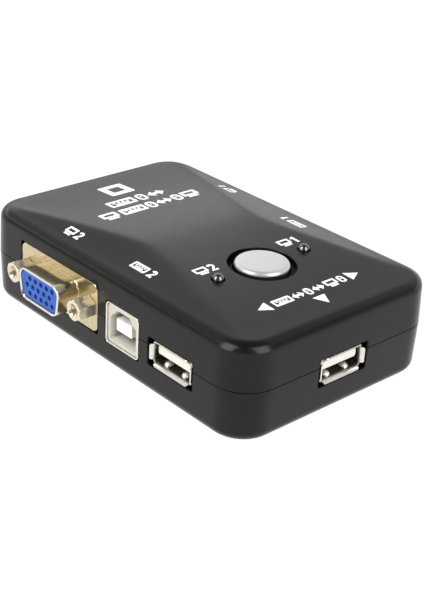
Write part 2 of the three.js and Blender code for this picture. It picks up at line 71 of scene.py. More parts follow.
RIM = 24.1            # height of the lid where its edge rounding ends
SEAM = 12.8
SEAM_GAP = 0.13
DRAFT = 0.28          # how far the walls lean in between the seam and the top or the underside
WALL = 2.0
CORNER = 8.8
LID_ROUND = 2.7
TRAY_ROUND = 2.65
CREST_SLOPE = 0.0455  # rise of the lid's straight front part
CREST_BACK = 26.26    # height of the arch that its back part follows
CREST_BLEND = 0.3
CREASE_MIDDLE = 15.7
CREASE_WAIST = 1.2
CREASE_SPREAD = 0.28
CREASE_SOFT = 1.3
WELL_RADIUS = 8.2
WELL_FLOOR = 24.1
WELL_BORE = 6.95
COLLAR_RADIUS = 9.5
COLLAR_BASE = 20.9
LAMP_HOLE = 1.68
LAMP_RADIUS = 1.4
LAMP_FLANGE = 1.9
LAMP_BASE = 20.6
LAMP_FLANGE_TOP = 21.6
LAMP_ROUND = 1.45     # height of the dome above the lamp's straight sides
LEAD_X = 1.27
BUTTON_RADIUS = 6.6
BUTTON_ROUND = 0.95
CAP_BASE = 24.85      # the silver cap's lower face, on the black skirt
STEM_BORE = 2.45
BOSS_X = 24.0
BOSS_Y = 41.4
BOSS_PLACES = [(x, y) for y in (-BOSS_Y, BOSS_Y) for x in (-BOSS_X, BOSS_X)]
BOSS_SPLIT = 10       # height at which the tray's bosses end
LID_BOSS = 3
TRAY_BOSS = 3.5
VGA_Z = 13.19
VGA_PROUD = 5.8       # the D shell's rim, in front of the wall's face
VGA_FACE = 0.2        # the flange's front, behind the wall's face
VGA_SHEET = 0.55
FLANGE_X = 15.4       # half the flange's width
FLANGE_Z = 6.2
FLANGE_THICK = 0.8
VGA_TOP = 8.55        # half the D's width along its upper side
VGA_BOTTOM = 7.2
VGA_HALF = 4.1
VGA_CORNER = 2.4
PIN_PITCH = 2.29
PIN_ROW = 1.98
JACK_X = 24.99 / 2
JACK_PROUD = 4.64
USB_A_Z = 11.1
USB_A_HALF_X = 6.55
USB_A_HALF_Z = 2.86
USB_B_Z = 11.93
USB_B_FACE = 0.4
USB_B_TONGUE_Z = USB_B_Z + 0.35
TONGUE_HALF_X = 2.85
TONGUE_HALF_Z = 1.6
SPRING_X = 3          # the type A socket's leaf springs, left and right of its middle
SHEET = 0.3           # thickness of the USB shells
INK = 0.015           # thickness of the printing

TO_ROW = Matrix.Diagonal((MM, MM, MM, 1)) @ Matrix.Translation((0, CASE_Y, 0))


# ---------------------------------------------------------------- mesh tools
def linked(name, data):
    """A new object in the scene."""
    item = bpy.data.objects.new(name, data)
    bpy.context.scene.collection.objects.link(item)
    return item


def finished_mesh(bm, name="scratch"):
    mesh = bpy.data.meshes.new(name)
    bm.to_mesh(mesh)
    bm.free()
    return mesh


def solid(bm, place=Matrix.Identity(4), name="scratch"):
    """An object from a bmesh, moved to the row frame; one called scratch is cut, joined or used to cut."""
    bmesh.ops.recalc_face_normals(bm, faces=bm.faces)
    bm.transform(TO_ROW @ place)
    return linked(name, finished_mesh(bm, name))


def to_piece(name, bm, material, place=Matrix.Identity(4), sharp=32, body="case", replaces=(), *, slot):
    """A piece straight from a bmesh."""
    dress(solid(bm, place, name), name, material, sharp, replaces, body)


def dress(piece, name, material, sharp, replaces, body="case"):
    """Finishes a piece: smooth between edges flatter than sharp degrees, and riding on its body."""
    piece.name = name
    mesh = piece.data
    mesh.materials.clear()
    mesh.materials.append(material)
    mesh.shade_smooth()
    mesh.set_sharp_from_angle(angle=math.radians(sharp))
    weighted = piece.modifiers.new("even_shading", "WEIGHTED_NORMAL")
    weighted.keep_sharp = True
    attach(piece, body)
    if replaces:
        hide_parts(*replaces)


def loft(bm, rings, caps=True, closed=False):
    """Faces between rings of equal length, with a cap on both ends or closed from the last to the first."""
    loops = [[bm.verts.new(point) for point in ring] for ring in rings]
    pairs = list(zip(loops, loops[1:]))
    if closed:
        pairs.append((loops[-1], loops[0]))
    for one, two in pairs:
        count = len(one)
        for i in range(count):
            bm.faces.new((one[i], one[(i + 1) % count], two[(i + 1) % count], two[i]))
    if caps and not closed:
        bm.faces.new(loops[0][::-1])
        bm.faces.new(loops[-1])


def rounded_outline(half_x, half_y, radius, arc=8, along_x=1, along_y=1):
    """Points round a rounded rectangle, anticlockwise from the right, always as many for the same steps."""
    middle_x, middle_y = half_x - radius, half_y - radius
    corners = ((1, 1), (-1, 1), (-1, -1), (1, -1))
    arcs = []
    for turn, (side_x, side_y) in enumerate(corners):
        angles = [(turn + i / arc) * QUARTER for i in range(arc + 1)]
        arcs.append([
            Vector((side_x * middle_x + radius * math.cos(a), side_y * middle_y + radius * math.sin(a)))
            for a in angles
        ])
    points = []
    for turn, bend in enumerate(arcs):
        points += bend
        steps = along_x if turn % 2 == 0 else along_y
        start, end = bend[-1], arcs[(turn + 1) % 4][0]
        points += [start.lerp(end, i / steps) for i in range(1, steps)]
    return points


def standing(outline, y, middle_z=0.0):
    """An outline drawn in X and Z at one depth."""
    return [Vector((p.x, y, middle_z + p.y)) for p in outline]


def lying(outline, z, x=0.0, y=0.0):
    return [Vector((x + p.x, y + p.y, z)) for p in outline]


def whole_turn(steps):
    """Angles once round a circle."""
    return [i / steps * 4 * QUARTER for i in range(steps)]


def circle(radius, steps=48):
    return [Vector((radius * math.cos(a), radius * math.sin(a))) for a in whole_turn(steps)]


def turned(bm, profile, x=0.0, y=0.0, steps=48):
    """A solid of revolution about an upright line: profile is (radius, height)."""
    loft(bm, [lying(circle(r, steps), z, x, y) for r, z in profile])


def bored(bm, profile, x, z, steps=24, closed=False):
    """A solid of revolution about a level line along Y: profile is (radius, y)."""
    angles = whole_turn(steps)
    rings = [[Vector((x + r * math.sin(a), y, z + r * math.cos(a))) for a in angles] for r, y in profile]
    loft(bm, rings, closed=closed)


def strip(bm, x, path, section):
    """A bent strip: its section of (x, z) offsets at each (y, z) of the path."""
    loft(bm, [[Vector((x + dx, y, z + dz)) for dx, dz in section] for y, z in path])


def combine(piece, bm, operation, place=Matrix.Identity(4)):
    """Cuts the solids of a bmesh from piece, joins them on, or keeps what they share with it."""
    tool = solid(bm, place)
    step = piece.modifiers.new("combine", "BOOLEAN")
    step.operation = operation
    step.solver = "EXACT"
    step.object = tool
    graph = bpy.context.evaluated_depsgraph_get()
    mesh = bpy.data.meshes.new_from_object(piece.evaluated_get(graph))
    piece.modifiers.clear()
    piece.data = mesh
    bpy.data.objects.remove(tool)
    return piece


def port_place(turns, x, y):
    """Turns a port drawn facing the front by quarter turns, and puts its wall face at x, y."""
    return Matrix.Translation((x, y, 0)) @ Matrix.Rotation(turns * QUARTER, 4, "Z")


def port_places(kind, part):
    """{place name: its matrix} for one kind of port, each centred on its CAD node."""
    found = {}
    for where, turns in (("left", -1), ("right", 1), ("front", 0), ("rear", 2)):
        node = f"{kind}_{where}_{part}"
        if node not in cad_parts:
            continue
        low, high = box_mm(node)
        if where in ("left", "right"):
            found[where] = port_place(turns, turns * HALF_WIDTH, (low.y + high.y) / 2 - CASE_Y)
        else:
            found[where] = port_place(turns, (low.x + high.x) / 2, (turns - 1) * HALF_LENGTH)
    return found


VGA_PLACES = port_places("vga", "shell")
USB_A_PLACES = port_places("usb_a", "insulator")
USB_B_PLACES = port_places("usb_b", "shell")


# ---------------------------------------------------------------- material tools
class Nodes:
    """Short calls for the nodes of a material or a world."""

    def __init__(self, owner, place):
        owner.use_nodes = True
        self.nodes = owner.node_tree.nodes
        self.links = owner.node_tree.links
        self.place = self.nodes.new("ShaderNodeTexCoord").outputs[place]

    def spread(self, value, low, high, start=0.3, end=0.7, smooth=False):
        """Maps a value between start and end to low and high."""
        node = self.nodes.new("ShaderNodeMapRange")
        if smooth:
            node.interpolation_type = "SMOOTHSTEP"
        node.inputs["From Min"].default_value = start
        node.inputs["From Max"].default_value = end
        node.inputs["To Min"].default_value = low
        node.inputs["To Max"].default_value = high
        self.links.new(value, node.inputs["Value"])
        return node.outputs["Result"]

    def ramp(self, value, *stops):
        node = self.nodes.new("ShaderNodeValToRGB")
        points = node.color_ramp.elements
        while len(points) < len(stops):
            points.new(0.5)
        for point, (position, colour) in zip(points, stops):
            point.position = position
            point.color = (*colour, 1)
        self.links.new(value, node.inputs["Fac"])
        return node.outputs["Color"]

    def blend(self, share, one, two):
        node = self.nodes.new("ShaderNodeMix")
        node.data_type = "RGBA"
        self.links.new(share, node.inputs[0])
        self.links.new(one, node.inputs[6])
        self.links.new(two, node.inputs[7])
        return node.outputs[2]


class Look(Nodes):
    """A principled material with short calls for its procedural nodes."""

    def __init__(self, name, **sockets):
        self.material = bpy.data.materials.new(name)
        super().__init__(self.material, "Object")
        self.shader = self.nodes["Principled BSDF"]
        for socket, value in sockets.items():
            self.shader.inputs[socket.replace("_", " ")].default_value = value
        self.relief = None

    def stretched(self, scale):
        mapping = self.nodes.new("ShaderNodeMapping")
        mapping.inputs["Scale"].default_value = scale
        self.links.new(self.place, mapping.inputs["Vector"])
        return mapping.outputs["Vector"]

    def noise(self, size_mm, detail=2.0, roughness=0.5, stretch=None):
        """Noise whose spots are about size_mm across, from 0 to 1."""
        node = self.nodes.new("ShaderNodeTexNoise")
        node.inputs["Scale"].default_value = 1 / (size_mm * MM)
        node.inputs["Detail"].default_value = detail
        node.inputs["Roughness"].default_value = roughness
        self.links.new(self.stretched(stretch) if stretch else self.place, node.inputs["Vector"])
        return node.outputs["Fac"]

    def compute(self, operation, *values):
        """A math node on sockets or plain numbers."""
        node = self.nodes.new("ShaderNodeMath")
        node.operation = operation
        for i, value in enumerate(values):
            if isinstance(value, (int, float)):
                node.inputs[i].default_value = value
            else:
                self.links.new(value, node.inputs[i])
        return node.outputs["Value"]

    def away(self, *centre):
        """The X and Y distances of a point from a centre in millimetres."""
        split = self.nodes.new("ShaderNodeSeparateXYZ")
        self.links.new(self.place, split.inputs["Vector"])
        return [self.compute("SUBTRACT", split.outputs[axis], mm * MM) for axis, mm in zip("XY", centre)]

    def depth(self):
        """How far a point lies inside the nearest wall of the case; negative outside."""
        walls = []
        for away, half in zip(self.away(0, CASE_Y), (HALF_WIDTH, HALF_LENGTH)):
            walls.append(self.compute("SUBTRACT", half * MM, self.compute("ABSOLUTE", away)))
        return self.compute("MINIMUM", *walls)

    def reach(self, x, y):
        """Distance from an upright axis."""
        squares = [self.compute("MULTIPLY", away, away) for away in self.away(x, y)]
        return self.compute("SQRT", self.compute("ADD", *squares))

    def colour(self, value):
        self.links.new(value, self.shader.inputs["Base Color"])
        return self

    def roughness(self, value):
        self.links.new(value, self.shader.inputs["Roughness"])
        return self

    def bump(self, value, depth_mm):
        """Relief of that depth, on top of any bump set before."""
        node = self.nodes.new("ShaderNodeBump")
        node.inputs["Strength"].default_value = 1.0
        node.inputs["Distance"].default_value = depth_mm * MM
        self.links.new(value, node.inputs["Height"])
        if self.relief is not None:
            self.links.new(self.relief, node.inputs["Normal"])
        self.relief = node.outputs["Normal"]
        self.links.new(self.relief, self.shader.inputs["Normal"])
        return self


def black_plastic(name, dark, light, rough, grain=0.003, well=0):
    """Moulded ABS with spark-eroded grain and faint flow mottling; inside a well round the button its
    reflection is turned down, painted shade that darkens the recess.
    """
    look = Look(name, IOR=1.33)
    mottle = look.noise(9, 3)
    look.colour(look.ramp(mottle, (0.3, dark), (0.7, light)))
    look.roughness(look.spread(look.noise(1.2, 4, 0.6), rough - 0.025, rough + 0.025))
    if well:
        # Painted shade: the specular level drops inside the well, so the recess round the button reads dark.
        painted_well_shade = look.spread(look.reach(0, BUTTON_Y + CASE_Y), 0.04, 0.5, (well - 0.1) * MM, well * MM)
        look.links.new(painted_well_shade, look.shader.inputs["Specular IOR Level"])
    look.bump(look.noise(0.22, 2, 0.6), grain)
    return look.bump(look.noise(9, 1), 0.012).material


def silver_plastic():
    """Metallic paint: a satin pearl with fine flake."""
    look = Look("button_silver", IOR=1.5, Metallic=0.6)
    look.colour(look.ramp(look.noise(0.35, 3, 0.7), (0.35, (0.58, 0.58, 0.57)), (0.65, (0.64, 0.64, 0.63))))
    look.roughness(look.spread(look.noise(1.6, 3), 0.31, 0.39))
    return look.bump(look.noise(0.18, 2), 0.002).material


def moulded(name, low, high, rough, face=None):
    """Connector plastic; a face tint colours the front, and painted shade darkens the plastic deep in its
    cavity.
    """
    look = Look(name, IOR=1.5)
    tint = look.ramp(look.noise(1.4, 3), (0.3, low), (0.7, high))
    if face:
        front = look.ramp(look.noise(1.8, 2), (0.3, face), (0.7, [1.06 * c for c in face]))
        painted_cavity_shade = look.ramp(look.noise(1.8, 2), (0.3, [0.3 * c for c in low]), (0.7, [0.3 * c for c in high]))
        # Painted shade: the colour falls to 0.3 of itself between 1.3 and 4.5 mm inside the wall.
        tint = look.blend(look.spread(look.depth(), 0.0, 1.0, 1.3 * MM, 4.5 * MM), tint, painted_cavity_shade)
        tint = look.blend(look.spread(look.depth(), 1.0, 0.0, 0.5 * MM, 0.62 * MM), tint, front)
    look.colour(tint)
    look.roughness(look.spread(look.noise(0.6, 3), rough - 0.06, rough + 0.06))
    return look.bump(look.noise(0.3, 2), 0.003).material


def plated(name, low, high, rough, waviness=0.006, metal=1.0, rim=None):
    """Plating over stamped sheet: fine rolling lines, slight waviness, small stains, perhaps a pale rim that
    is a painted highlight.
    """
    look = Look(name, Metallic=metal)
    tint = look.ramp(look.noise(1.1, 4, 0.6), (0.3, low), (0.7, high))
    if rim:
        # Painted highlight: a pale colour on the D shell's front rim.
        painted_rim_highlight = look.nodes.new("ShaderNodeRGB").outputs["Color"]
        painted_rim_highlight.default_value = (*rim, 1)
        edge = look.spread(look.depth(), 1.0, 0.0, (0.35 - VGA_PROUD) * MM, (0.6 - VGA_PROUD) * MM)
        tint = look.blend(edge, tint, painted_rim_highlight)
    look.colour(tint)
    look.roughness(look.spread(look.noise(0.5, 4, 0.65), rough - 0.04, rough + 0.06))
    look.bump(look.noise(0.08, 2, 0.5, (1, 1, 12)), 0.0006)
    return look.bump(look.noise(2.4, 1), waviness).material


def sleeve_nickel():
    """Nickel with painted shade: its colour darkens quickly inside a socket, where no light falls."""
    look = Look("sleeve_nickel", Metallic=0.8)
    unshaded_nickel = look.ramp(look.noise(1.1, 4, 0.6), (0.3, (0.74, 0.71, 0.65)), (0.7, (0.84, 0.81, 0.75)))
    # Painted shade: the colour falls to 0.15 of itself between 0.8 and 1.7 mm inside the wall.
    shade = look.spread(look.depth(), 1.0, 0.15, 0.8 * MM, 1.7 * MM)
    painted_shade_nickel = look.nodes.new("ShaderNodeVectorMath")
    painted_shade_nickel.operation = "SCALE"
    look.links.new(unshaded_nickel, painted_shade_nickel.inputs[0])
    look.links.new(shade, painted_shade_nickel.inputs["Scale"])
    look.colour(painted_shade_nickel.outputs["Vector"])
    look.roughness(look.spread(look.noise(0.5, 4, 0.65), 0.14, 0.26))
    return look.bump(look.noise(2.4, 1), 0.004).material


def lamp_epoxy():
    look = Look("lamp_epoxy", IOR=2.3)
    look.colour(look.ramp(look.noise(0.8, 2), (0.3, (0.004, 0.004, 0.004)), (0.7, (0.010, 0.010, 0.010))))
    look.roughness(look.spread(look.noise(0.5, 2), 0.03, 0.08))
    return look.bump(look.noise(0.9, 1), 0.003).material


def white_ink():
    # The ink emits a little light: painted light that brightens the print beyond what the lamps give.
    look = Look("white_ink", IOR=1.45, Emission_Color=(1, 1, 1, 1), Emission_Strength=0.16)
    look.colour(look.ramp(look.noise(0.25, 3, 0.7), (0.3, (0.84, 0.84, 0.83)), (0.6, (0.96, 0.96, 0.95))))
    look.roughness(look.spread(look.noise(0.3, 3), 0.45, 0.6))
    return look.bump(look.noise(0.12, 2), 0.003).material


def board_lacquer():
    look = Look("board_lacquer", IOR=1.5)
    look.colour(look.ramp(look.noise(1.8, 4, 0.7), (0.42, (0.01, 0.09, 0.035)), (0.58, (0.02, 0.17, 0.07))))
    look.roughness(look.spread(look.noise(0.8, 2), 0.3, 0.42))
    return look.bump(look.noise(0.9, 3), 0.01).material


CASE_TINTS = ((0.0046, 0.0045, 0.0042), (0.0058, 0.0057, 0.0054))
CASE_BLACK = black_plastic("case_black", *CASE_TINTS, 0.24)
LID_BLACK = black_plastic("lid_black", *CASE_TINTS, 0.24, well=WELL_RADIUS + 0.1)
HOUSING_BLACK = black_plastic("housing_black", (0.012, 0.012, 0.012), (0.018, 0.018, 0.018), 0.5, 0.006)
BUTTON_SILVER = silver_plastic()
CONNECTOR_BLUE = moulded("connector_blue", (0.010, 0.066, 0.34), (0.014, 0.088, 0.42), 0.42)
CONNECTOR_CREAM = moulded("connector_cream", (0.64, 0.62, 0.54), (0.72, 0.70, 0.62), 0.38)
FRAME_CREAM = moulded("frame_cream", (0.80, 0.78, 0.71), (0.88, 0.86, 0.79), 0.38, (0.50, 0.48, 0.39))
# The last colour is the painted highlight on the D shell's rim.
PALE_GOLD = plated("pale_gold", (0.57, 0.49, 0.31), (0.67, 0.58, 0.39), 0.15, 0.02, 0.95, (0.80, 0.80, 0.75))
JACK_GOLD = plated("jack_gold", (0.72, 0.63, 0.47), (0.82, 0.73, 0.57), 0.18, 0.003, 0.8)
BRIGHT_NICKEL = plated("bright_nickel", (0.84, 0.81, 0.76), (0.94, 0.91, 0.86), 0.2, 0.004, 0.7)
SLEEVE_NICKEL = sleeve_nickel()
CONTACT_GOLD = plated("contact_gold", (0.85, 0.62, 0.25), (0.95, 0.74, 0.36), 0.25)
SPRING_STEEL = plated("spring_steel", (0.45, 0.45, 0.46), (0.58, 0.58, 0.58), 0.3)
LAMP_EPOXY = lamp_epoxy()
WHITE_INK = white_ink()
BOARD_GREEN = board_lacquer()


# ---------------------------------------------------------------- case
def soft(value, width):
    """The larger of value and 0, with a rounded turn about width across."""
    return (value + math.hypot(value, width)) / 2


LID_SIDE = HALF_WIDTH - DRAFT - LID_ROUND


def crest_height(y):
    """The lid's middle line: a straight front slope that meets an arched back in a soft ridge."""
    reach = HALF_LENGTH - LID_ROUND
    front = RIM + CREST_SLOPE * (y + reach)
    back = CREST_BACK - (CREST_BACK - RIM) * (y / reach) ** 2
    return front - soft(front - back, CREST_BLEND)


def lid_height(x, y):
    """The lid's surface: the crest, with a facet falling from each waisted crease to the side."""
    rise = crest_height(y) - RIM
    crease = min(CREASE_MIDDLE + math.hypot(CREASE_WAIST, CREASE_SPREAD * y), LID_SIDE - 0.8)
    fall = rise / (LID_SIDE - crease) * soft(abs(x) - crease, CREASE_SOFT)
    return RIM + soft(rise - fall, 0.2)


ARC_STEPS = 14
SHORT_STEPS = 30
LONG_STEPS = 72
EDGE_STEPS = 9


def case_ring(inset):
    half_x = max(HALF_WIDTH - inset, 0)
    radius = min(max(CORNER - inset, 2.5), half_x)
    return rounded_outline(half_x, HALF_LENGTH - inset, radius, ARC_STEPS, SHORT_STEPS, LONG_STEPS)


def steps_between(start, end, count):
    return [start + (end - start) * i / count for i in range(1, count + 1)]


def edge_profile(radius):
    """(inset, drop below the edge) round a quarter circle from the wall to the top."""
    bend = [QUARTER * i / EDGE_STEPS for i in range(EDGE_STEPS + 1)]
    return [(DRAFT + radius * (1 - math.cos(a)), radius * (1 - math.sin(a))) for a in bend]


def case_half(bm, level, edge, surface, inner_surface, radius, direction, fine):
    """One hollow half of the case, from the middle of its inner face round the seam to its outer middle."""
    rings = []
    for inset in (HALF_WIDTH, 25, 18, 12, 8, 5, 3.6):
        rings.append([Vector((p.x, p.y, inner_surface(p.x, p.y))) for p in case_ring(inset)])
    inner_edge = edge - direction * WALL
    rings.append(lying(case_ring(WALL + 0.4), inner_edge - direction * 0.5))
    rings.append(lying(case_ring(WALL), inner_edge - direction * 1.6))
    seam = level + direction * SEAM_GAP / 2
    for inset, rise in ((WALL, 0), (0.12, 0), (0.035, 0.06), (0.0, 0.16)):
        rings.append(lying(case_ring(inset), seam + direction * rise))
    start = seam + direction * 0.16
    top = edge - direction * radius
    for i in range(1, 5):
        rings.append(lying(case_ring(DRAFT * i / 5), start + (top - start) * i / 5))
    for inset, drop in edge_profile(radius):
        rings.append([Vector((p.x, p.y, surface(p.x, p.y) - direction * drop)) for p in case_ring(inset)])
    for inset in steps_between(DRAFT + radius, HALF_WIDTH, fine):
        rings.append([Vector((p.x, p.y, surface(p.x, p.y))) for p in case_ring(inset)])
    loft(bm, rings, caps=False)
    bmesh.ops.remove_doubles(bm, verts=bm.verts, dist=1e-3)


# ports, half the width and half the height of their windows, and the height of the windows' middle
WINDOWS = (
    (VGA_PLACES, 15.8, 6.4, VGA_Z),
    (USB_B_PLACES, 6.15, 5.5, USB_B_Z),
    (USB_A_PLACES, 7.7, 3.55, USB_A_Z),
)


WINDOW_CORNER = 0.35
WINDOW_CHAMFER = 0.26


def window_cutters():
    """Cutters for all the ports' windows, flared where they leave the wall."""
    bm = bmesh.new()
    flare = ((WINDOW_CHAMFER + 1, -1), (0.0, WINDOW_CHAMFER), (0.0, WALL + 2))
    for places, half_x, half_z, middle_z in WINDOWS:
        rings = []
        for grow, y in flare:
            outline = rounded_outline(half_x + grow, half_z + grow, WINDOW_CORNER + grow, 4)
            rings.append(standing(outline, y, middle_z))
        for place in places.values():
            one = bmesh.new()
            loft(one, rings)
            one.transform(place)
            mesh = finished_mesh(one)
            bm.from_mesh(mesh)
            bpy.data.meshes.remove(mesh)
    return bm


def mouth_cutter(bm, x, radius, floor, chamfer, steps):
    """Adds a cutter for an upright hole whose rim is chamfered along the sloping lid."""
    rings = [lying(circle(radius, steps), floor, x, BUTTON_Y)]
    for grow, rise in ((0.0, -chamfer), (chamfer * 0.3, -chamfer * 0.3), (chamfer + 0.6, 0.6)):
        rim = lying(circle(radius + grow, steps), 0, x, BUTTON_Y)
        rings.append([Vector((p.x, p.y, lid_height(p.x, p.y) + rise)) for p in rim])
    loft(bm, rings)


def make_lid():
    bm = bmesh.new()
    case_half(bm, SEAM, RIM, lid_height, lambda x, y: lid_height(x, y) - WALL, LID_ROUND, 1, 34)
    lid = solid(bm)
    added = bmesh.new()
    turned(added, ((COLLAR_RADIUS, COLLAR_BASE), (COLLAR_RADIUS, WELL_FLOOR + 0.2)), 0, BUTTON_Y)
    for x, y in BOSS_PLACES:
        turned(added, ((LID_BOSS, BOSS_SPLIT + 0.3), (LID_BOSS, RIM - 1)), x, y, 24)
    combine(lid, added, "UNION")
    cutters = window_cutters()
    mouth_cutter(cutters, 0, WELL_RADIUS, WELL_FLOOR, 0.22, 96)
    for x in (-LAMP_X, LAMP_X):
        mouth_cutter(cutters, x, LAMP_HOLE, LAMP_FLANGE_TOP - 0.1, 0.12, 32)
    for x, y in BOSS_PLACES:
        turned(cutters, ((1.45, 9), (1.45, 21)), x, y, 16)
    combine(lid, cutters, "DIFFERENCE")
    bore = bmesh.new()
    turned(bore, ((WELL_BORE, COLLAR_BASE - 2), (WELL_BORE, WELL_FLOOR + 0.3)), 0, BUTTON_Y, 64)
    combine(lid, bore, "DIFFERENCE")
    dress(lid, "lid", LID_BLACK, 28, ["top_shell"])


def make_tray():
    bm = bmesh.new()
    case_half(bm, SEAM, 0.0, lambda x, y: 0.0, lambda x, y: WALL, TRAY_ROUND, -1, 6)
    tray = solid(bm)
    added = bmesh.new()
    for x, y in BOSS_PLACES:
        turned(added, ((TRAY_BOSS, 1), (TRAY_BOSS, BOSS_SPLIT)), x, y, 24)
    combine(tray, added, "UNION")
    cutters = window_cutters()
    for x, y in BOSS_PLACES:
        turned(cutters, ((3.9, -0.6), (3.1, 0.25), (3.1, 3.8), (1.6, 3.8), (1.6, 11)), x, y, 32)
    combine(tray, cutters, "DIFFERENCE")
    dress(tray, "tray", CASE_BLACK, 28, ["bottom_shell"])


def make_case_screws():
    """Pan-headed screws with a cross recess, seen in the recesses of the underside."""
    for number, (x, y) in enumerate(BOSS_PLACES, 1):
        bm = bmesh.new()
        head = ((0.9, 1.8), (1.9, 1.88), (2.45, 2.15), (2.7, 2.7), (2.7, 3.8))
        shank = ((1.25, 3.8), (1.25, 18), (0.3, 20))
        turned(bm, head + shank, x, y, 32)
        screw = solid(bm)
        for long_x, long_y in ((1.7, 0.32), (0.32, 1.7)):
            wide = rounded_outline(long_x, long_y, 0.12, 3)
            narrow = rounded_outline(long_x * 0.62, long_y * 0.8, 0.08, 3)
            bar = bmesh.new()
            loft(bar, [lying(wide, 1.2, x, y), lying(wide, 1.9, x, y), lying(narrow, 2.9, x, y)])
            combine(screw, bar, "DIFFERENCE")
        dress(screw, f"case_screw_{number}_body", BRIGHT_NICKEL, 40, [f"case_screw_{number}"])


# ---------------------------------------------------------------- button and lamps
def make_button():
    """A silver cap on a black skirt that is hidden in the well."""
    top = BUTTON_HIGH.z
    bend = BUTTON_ROUND
    rounding = [
        (BUTTON_RADIUS - bend * (1 - math.cos(a)), top - 0.04 - bend * (1 - math.sin(a)))
        for a in steps_between(0, QUARTER, 12)
    ]
    bm = bmesh.new()
    cap = [(5.8, CAP_BASE), (BUTTON_RADIUS - 0.12, CAP_BASE), (BUTTON_RADIUS, CAP_BASE + 0.1)]
    crown = [(4.6, top - 0.02), (3.0, top - 0.01), (0.3, top)]
    turned(bm, cap + rounding + crown, 0, BUTTON_Y, 96)
    cad = ["select_button"]
    to_piece("button_cap", bm, BUTTON_SILVER, body="button", replaces=cad, slot="button_plastic")
    bm = bmesh.new()
    stem = [(STEM_BORE, 18.2), (STEM_BORE, 16.2), (3.2, 16.2), (3.2, 19.4)]
    stop = [(8.0, 19.4), (8.0, 20.4), (6.45, 20.4)]
    turned(bm, stem + stop + [(6.45, CAP_BASE - 0.02), (0.3, CAP_BASE - 0.02)], 0, BUTTON_Y, 96)
    to_piece("button_skirt", bm, HOUSING_BLACK, body="button", slot="case_plastic")


def make_lamps():
    for name, x in (("left", -LAMP_X), ("right", LAMP_X)):
        bm = bmesh.new()
        shoulder = LAMP_HIGH.z - LAMP_ROUND
        profile = [(0.4, LAMP_BASE), (LAMP_FLANGE, LAMP_BASE), (LAMP_FLANGE, LAMP_FLANGE_TOP)]
        profile += [(LAMP_RADIUS, LAMP_FLANGE_TOP), (LAMP_RADIUS, shoulder)]
        for a in steps_between(0, QUARTER * 0.97, 10):
            profile.append((LAMP_RADIUS * math.cos(a), shoulder + 1.35 * math.sin(a)))
        turned(bm, profile, x, BUTTON_Y, 40)
        wire = rounded_outline(0.25, 0.25, 0.03, 2)
        for lead in (-LEAD_X, LEAD_X):
            loft(bm, [lying(wire, z, x + lead, BUTTON_Y) for z in (4.0, LAMP_BASE - 0.01)])
        to_piece(f"lamp_{name}", bm, LAMP_EPOXY, replaces=[f"led_{name}"], slot="lamp_plastic")


# ---------------------------------------------------------------- VGA socket
def d_outline(inset, arc=7, along=6):
    """The D shape, wide side up, drawn in by inset."""
    high = VGA_HALF - inset
    slope = (VGA_TOP - VGA_BOTTOM) / (2 * VGA_HALF)
    middle = (VGA_TOP + VGA_BOTTOM) / 2 - inset
    corners = [Vector((side * (middle + level * high * slope), level * high))
               for side, level in ((1, 1), (-1, 1), (-1, -1), (1, -1))]
    radius = max(VGA_CORNER - inset, 0.6)
    points = []
    for i, corner in enumerate(corners):
        before = (corners[i - 1] - corner).normalized()
        after = (corners[(i + 1) % 4] - corner).normalized()
        half_angle = before.angle(after) / 2
        reach = radius / math.tan(half_angle)
        centre = corner + (before + after).normalized() * radius / math.sin(half_angle)
        start = corner + before * reach - centre
        end = corner + after * reach - centre
        sweep = start.angle_signed(end)
        for k in range(arc + 1):
            turn = -sweep * k / arc
            c, s = math.cos(turn), math.sin(turn)
            points.append(centre + Vector((start.x * c - start.y * s, start.x * s + start.y * c)))
        nxt = corners[(i + 1) % 4]
        following = (corners[(i + 2) % 4] - nxt).normalized()
        back = (corner - nxt).normalized()
        next_reach = radius / math.tan(back.angle(following) / 2)
        target = nxt + back * next_reach
        last = points[-1]
        points += [last.lerp(target, k / along) for k in range(1, along)]
    return points


def d_ring(inset, y):
    return standing(d_outline(inset), y, VGA_Z)


def vga_metal(where, place):
    """The flange with its D shell: drawn sheet with a rounded root and rim."""
    bm = bmesh.new()
    plate = []
    back = VGA_FACE + FLANGE_THICK
    for grow, y in ((-0.12, VGA_FACE), (0.0, VGA_FACE + 0.12), (0.0, back)):
        plate.append(standing(rounded_outline(FLANGE_X + grow, FLANGE_Z + grow, 1.6 + grow, 8), y, VGA_Z))
    loft(bm, plate)
    flange = solid(bm, place)
    bm = bmesh.new()
    bend = 0.3
    foot = VGA_FACE + 0.02
    rings = [d_ring(-bend, back - 0.2), d_ring(-bend, foot)]
    for a in steps_between(0, QUARTER, 5):
        rings.append(d_ring(-bend * (1 - math.sin(a)), foot - bend * (1 - math.cos(a))))
    rim = VGA_SHEET / 2
    rings.append(d_ring(0, -VGA_PROUD + rim))
    for a in steps_between(0, QUARTER, 4):
        rings.append(d_ring(rim * (1 - math.cos(a)), -VGA_PROUD + rim * (1 - math.sin(a))))
    loft(bm, rings)
    combine(flange, bm, "UNION", place)
    bm = bmesh.new()
    throat = ((rim, -VGA_PROUD - 0.1), (VGA_SHEET, -VGA_PROUD + rim), (VGA_SHEET, back + 1))
    loft(bm, [d_ring(inset, y) for inset, y in throat])
    for side in (-1, 1):
        bored(bm, ((1.6, VGA_FACE - 1), (1.6, back + 1)), side * JACK_X, VGA_Z)
    combine(flange, bm, "DIFFERENCE", place)
    dress(flange, f"vga_{where}_metal", PALE_GOLD, 34, [f"vga_{where}_shell"])


def pin_places():
    """Fifteen pins in three rows; the middle row is set half a pitch aside."""
    for row in range(3):
        for i in range(5):
            shift = (-0.25 if row == 1 else 0.25) * PIN_PITCH
            yield (i - 2) * PIN_PITCH + shift, VGA_Z + (1 - row) * PIN_ROW


